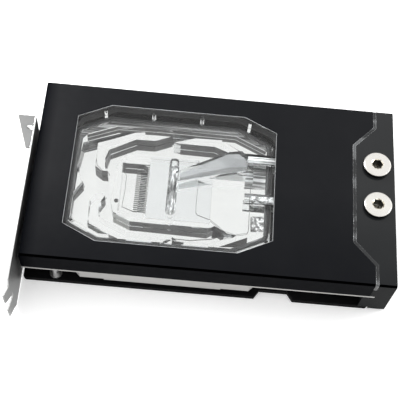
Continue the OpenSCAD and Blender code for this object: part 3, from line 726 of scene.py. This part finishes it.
def channel_walls(dark):
    """Skins of painted light and shade on the walls, lines of painted shade, and matt patches of the milled
    channels.
    """
    pale = milled_acrylic("milled_pale_walls", (0.25, 0.25, 0.24), (0.5, 0.5, 0.48), (0.62, 0.61, 0.6))
    for name, line in PAINTED_SHADE_WALLS.items():
        milled_wall("milled_wall_" + name, line, dark)
    for name, line in PAINTED_HIGHLIGHT_WALLS.items():
        milled_wall("milled_wall_" + name, line, pale)
    # Dark tubes at the walls' feet and the inlet pocket's edge: painted shade
    painted_edge_shade = moulded("edge_lines", grey(0.05), grey(0.1), (0.4, 0.5), 0.5, 0.01)
    plate = PLATE_TOP / MM
    for i, line in enumerate(EDGES):
        points = [at(x, y, plate + EDGE_HEIGHT) for x, y in line]
        tube(f"channel_edge_{i + 1}", points, EDGE_RADIUS * MM, painted_edge_shade, False, 2)
    pocket = [at(x, y, plate + POCKET_HEIGHT) for x, y in INLET_POCKET]
    tube("inlet_pocket_edge", pocket, EDGE_RADIUS * MM, painted_edge_shade, True, 2)
    for name, outline in PATCHES.items():
        floor_patch("patch_" + name, outline, dark)


def turned_bands():
    """Cut bands round the main seal, the pocket and turned face at the ports, streaked with painted
    reflections and highlights, and the band outside the seal with its painted light and shade.
    """
    crosswise = streaked("turned_acrylic", 1.6, (0.02, 1, 1), 0.06)
    lengthwise = streaked("milled_sides_of_seal", 1.3, (1, 0.02, 1), 0.06)
    rim = milled_acrylic("milled_rim", grey(0.06), grey(0.09), grey(0.14))
    # Sheets streaked with painted reflections and painted highlights
    floor_patch("port_pocket", PORT_POCKET, streaked("painted_glint_pocket", 2.2, (1, 1, 1), 0.35, 0.52))
    floor_patch("seal_land", band(LAND_OUTSIDE, LAND_INSIDE), crosswise)
    # Painted light and shade of the band under the cover
    floor_patch("outer_land", band(RIM_OUTSIDE, RIM_INSIDE), rim)
    for name, outline in LAND_SIDES.items():
        floor_patch("seal_land_" + name, outline, lengthwise)
    floor_patch("port_marks", PORT_MARKS, streaked("port_acrylic", 1.8, (0.05, 1, 1), 0.2, 0.48))


def small_marks(dark):
    """Drilled dot, and the nub beside the jet slot."""
    angles = [2 * math.pi * k / DOT_SIDES for k in range(DOT_SIDES)]
    dot = [(DOT_CENTRE[0] + DOT_RADIUS * math.cos(angle), DOT_CENTRE[1] + DOT_RADIUS * math.sin(angle))
           for angle in angles]
    floor_patch("drilled_dot", dot, dark)
    floor_patch("slot_nub", NUB, dark)


def drilled_passages():
    """Inner walls of the two coolant passages, streaked with painted reflections and highlights."""
    rear = streaked("drilled_acrylic", 1.4, (0.04, 1, 1), 0.4, 0.47)
    front = streaked("painted_glint_passage", 2.2, (0.7, 1, 1), 0.4, 0.48)
    bore_skin("rear_passage", REAR_PASSAGE, rear)
    bore_skin("front_passage", FRONT_PASSAGE, front)


def seen_fins():
    """Fins where they show, painted darker than the plate as painted shade, each group on a sheet of
    painted shade.
    """
    # Painted shade: darker nickel on the fins, and a near-black sheet under them
    fins = machined("fin_nickel", (0.5, 0.5, 0.49), (0.8, 0.8, 0.78), (0.2, 0.4), 1.2, (0.3, 1, 1), 0.002)
    fin_shade = moulded("fin_painted_shade", grey(0.004), (0.03, 0.03, 0.028), (0.5, 0.7), 1.5, 0.01)
    for name, (x_range, y_range) in FINS.items():
        corners = [(x_range[0], y_range[0]), (x_range[1], y_range[0]),
                   (x_range[1], y_range[1]), (x_range[0], y_range[1])]
        floor_patch(name + "_ground", corners, fin_shade, FIN_SHADE_LEVELS)
        fine_fins(name, x_range, y_range, fins)


def jet_slot():
    """Glassy sheet inside the jet slot, and the rim round it, both streaked with painted reflections and
    highlights.
    """
    inner_x, inner_y = ((a + SHEET_INSET, b - SHEET_INSET) for a, b in (SLOT_X, SLOT_Y))
    low = PLATE_TOP + SHEET_HEIGHT * MM
    high = low + SHEET_THICKNESS * MM
    glass = streaked("slot_acrylic", 1.5, (1, 0.2, 1), 0.3, 0.56)
    prism("slot_glass", stadium(inner_x, inner_y), low, high, glass)
    outline = stadium(SLOT_X, SLOT_Y, PLATE_TOP / MM + RIM_HEIGHT)
    rim = streaked("slot_rim", 2.4, (1, 1, 1), 0.3)
    tube("jet_slot_rim", outline, RIM_RADIUS * MM, rim)


def milled_ramp():
    """Matt roof that the cutter left in the tapered inlet, with painted shade where it slopes down."""
    roof = matt_sheet("matt_roof", (0.2, 0.203, 0.206), (0.27, 0.273, 0.276), (0.32, 0.322, 0.325))
    # Painted shade: a darker copy of the roof's matt finish
    shade = matt_sheet("matt_shade", grey(0.1), grey(0.15), grey(0.2))
    for name, outline, material in (("roof", RAMP_ROOF, roof), ("shade", RAMP_SHADE, shade)):
        mesh = bpy.data.meshes.new("milled_ramp_" + name)
        corners = [tuple(at(x, y, RAMP_LEVEL)) for x, y in outline]
        mesh.from_pydata(corners, [], [tuple(range(len(corners)))[::-1]])
        mesh_piece("milled_ramp_" + name, mesh, material)


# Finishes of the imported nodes
def metal_finishes():
    """Finishes of the plates, screws and bracket."""
    steel = machined("screw_steel", (0.56, 0.56, 0.55), grey(0.5), (0.2, 0.35), 0.3, (1, 1, 1), 0.003)
    return {
        "cold_plate": machined("nickel", (0.93, 0.92, 0.9), (0.9, 0.89, 0.87), (0.02, 0.06), 0.4,
                               (0.05, 1, 1), 0.0006, sides=0.7, painted_side_share=0.54),
        "jet_plate": machined("brushed_steel", (0.86, 0.86, 0.85), (0.83, 0.83, 0.82), (0.05, 0.12), 0.2,
                              (0.04, 1, 1), 0.0006),
        "manifold_screws": steel,
        "cover_screws": steel,
        "terminal_screws": steel,
        "back_plate_spacers": steel,
        "bracket_screws": steel,
        "back_plate_screws": machined("black_screw_steel", grey(0.05), grey(0.07), (0.25, 0.4), 0.3,
                                      (1, 1, 1), 0.003),
        "slot_bracket": machined("bracket_plating", (0.87, 0.87, 0.86), (0.8, 0.81, 0.81), (0.2, 0.3), 0.5,
                                 (1, 0.03, 1), 0.0015, edge_mm=0.25, sides=0.45, painted_side_share=0.32),
    }


def black_finishes():
    """Finishes of the anodised and acetal pieces."""
    return {
        "cover_plate": anodised("anodised_black", (0.004, 0.0045, 0.006), (0.006, 0.0065, 0.008),
                                (0.03, 0.03, 0.033), 0.15, brush=0.004),
        "terminal_block": anodised("acetal_black", (0.008, 0.009, 0.01), (0.011, 0.012, 0.013),
                                   (0.04, 0.04, 0.043), 0.4, (0.14, 0.22)),
        "back_plate": anodised("back_plate_black", (0.004, 0.004, 0.0045), (0.006, 0.006, 0.0065),
                               grey(0.03), 0.2),
    }


def soft_finishes():
    """Finishes of the seals and pads."""
    rubber = moulded("seal_rubber", grey(0.003), grey(0.006), (0.45, 0.6), 0.2, 0.006)
    pad = moulded("thermal_pad", (0.36, 0.4, 0.46), (0.42, 0.46, 0.52), (0.8, 0.95), 0.4, 0.03)
    return {
        "main_oring": rubber,
        "passage_orings": rubber,
        "plug_orings": rubber,
        "memory_pads": pad,
        "regulator_pads": pad,
    }


def finish_nodes():
    """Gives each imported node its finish, and returns the finishes by the nodes' names."""
    finishes = {
        "acrylic_manifold": clear("acrylic", (0.97, 0.985, 0.99)),
        "accent_strip": cut_strip("strip_acrylic"),
        **black_finishes(),
        **metal_finishes(),
        **soft_finishes(),
    }
    for name, low, high in (("plug_rear", PLUG_REAR_LOW, PLUG_REAR_HIGH),
                            ("plug_front", PLUG_FRONT_LOW, PLUG_FRONT_HIGH)):
        finishes[name] = turned(name + "_nickel", (0.87, 0.85, 0.8), (0.82, 0.8, 0.76), (low + high) / 2,
                                0.3, (0.24, 0.34), SOCKET_RADIUS)
    for name, material in finishes.items():
        for slot in NODES[name].material_slots:
            slot.material = material
    return finishes


def part_surfaces():
    """Welds the acrylic and draws its skin in a hair, so that it doesn't share a face with the plate."""
    acrylic = NODES["acrylic_manifold"]
    weld = acrylic.modifiers.new("weld", "WELD")
    weld.merge_threshold = WELD_DISTANCE * MM
    skin = acrylic.modifiers.new("skin", "DISPLACE")
    skin.mid_level = 0
    skin.strength = -SKIN_DRAW * MM


# Camera, lamps and floor
def camera():
    """Camera at the photograph's viewing angle."""
    data = bpy.data.cameras.new("camera")
    data.sensor_width = SENSOR
    data.lens = LENS
    data.shift_y = CAMERA_SHIFT
    data.clip_start, data.clip_end = NEAR_CLIP, FAR_CLIP
    view = bpy.data.objects.new("camera", data)
    view.location = Vector(CAMERA_PLACE) * MM
    view.rotation_euler = CAMERA_TURN
    bpy.context.scene.collection.objects.link(view)
    bpy.context.scene.camera = view


def lamp(name, place_mm, target_mm, power):
    """Square lamp aimed at a target."""
    data = bpy.data.lights.new(name, "AREA")
    data.shape = "RECTANGLE"
    data.size = LAMP_SIDE * MM
    data.size_y = LAMP_SIDE * MM
    data.energy = power
    made = bpy.data.objects.new(name, data)
    made.location = Vector(place_mm) * MM
    aim = Vector(target_mm) * MM - made.location
    made.rotation_euler = aim.to_track_quat("-Z", "Y").to_euler()
    bpy.context.scene.collection.objects.link(made)


def seen_rays(tree):
    """1 for rays that show the background: from the camera, and as metal and glass reflect or pass them."""
    rays = add(tree, "ShaderNodeLightPath")
    either = rays.outputs["Is Camera Ray"]
    for kind in ("Is Glossy Ray", "Is Transmission Ray"):
        made = add(tree, "ShaderNodeMath", operation="MAXIMUM")
        link(tree, either, made.inputs[0])
        link(tree, rays.outputs[kind], made.inputs[1])
        either = made.outputs["Value"]
    return either


def sky():
    """Sky that lights the part and fades towards the horizon, and is white where it is seen."""
    world = bpy.data.worlds.new("studio")
    world.use_nodes = True
    bpy.context.scene.world = world
    tree = world.node_tree
    lit = tree.nodes["Background"]
    source = add(tree, "ShaderNodeTexCoord")
    parts = add(tree, "ShaderNodeSeparateXYZ")
    link(tree, source.outputs["Generated"], parts.inputs["Vector"])
    strength = spread(tree, parts.outputs["Z"], *SKY_STRENGTH, 0.0, SKY_FULL)
    link(tree, strength, lit.inputs["Strength"])
    lit.inputs["Color"].default_value = (1, 1, 1, 1)
    white = add(tree, "ShaderNodeBackground")
    white.inputs["Color"].default_value = (1, 1, 1, 1)
    either = add(tree, "ShaderNodeMixShader")
    link(tree, seen_rays(tree), either.inputs["Fac"])
    link(tree, lit.outputs["Background"], either.inputs[1])
    link(tree, white.outputs["Background"], either.inputs[2])
    link(tree, either.outputs["Shader"], tree.nodes["World Output"].inputs["Surface"])


def studio_floor():
    """Pale paper that lights the part softly, and is white where it is seen."""
    half = FLOOR_HALF
    mesh = bpy.data.meshes.new("floor")
    corners = [(-half, -half, 0), (half, -half, 0), (half, half, 0), (-half, half, 0)]
    mesh.from_pydata(corners, [], [(0, 1, 2, 3)])
    floor = bpy.data.objects.new("floor", mesh)
    bpy.context.scene.collection.objects.link(floor)
    paper, tree, shader = new_material("paper")
    seen = seen_rays(tree)
    link(tree, mixed(tree, seen, (0.4, 0.4, 0.41), grey(0.98)), shader.inputs["Base Color"])
    shader.inputs["Emission Color"].default_value = (1, 1, 1, 1)
    link(tree, product(tree, seen, FLOOR_GLOW), shader.inputs["Emission Strength"])
    shader.inputs["Roughness"].default_value = 0.9
    shader.inputs["Specular IOR Level"].default_value = 0.1
    mesh.materials.append(paper)
    floor.location.z = -FLOOR_DROP * MM


def studio():
    """Lamps, sky and floor."""
    for name, (place_mm, target_mm, power) in LAMPS.items():
        lamp(name, place_mm, target_mm, power)
    sky()
    studio_floor()
    bpy.context.scene.view_settings.view_transform = "Standard"


camera()
studio()
finishes = finish_nodes()
part_surfaces()
main_seal(finishes["main_oring"])
# Dark tones of the walls that face the slot edge: painted shade
dark_walls = milled_acrylic("milled_walls", grey(0.006), (0.035, 0.034, 0.033), (0.09, 0.088, 0.086))
channel_walls(dark_walls)
turned_bands()
small_marks(dark_walls)
drilled_passages()
seen_fins()
jet_slot()
milled_ramp()
window_chamfer(frosted("chamfered_acrylic", (0.8, 0.82, 0.84), (0.3, 0.45), 0.3, 0.3, 0.01))
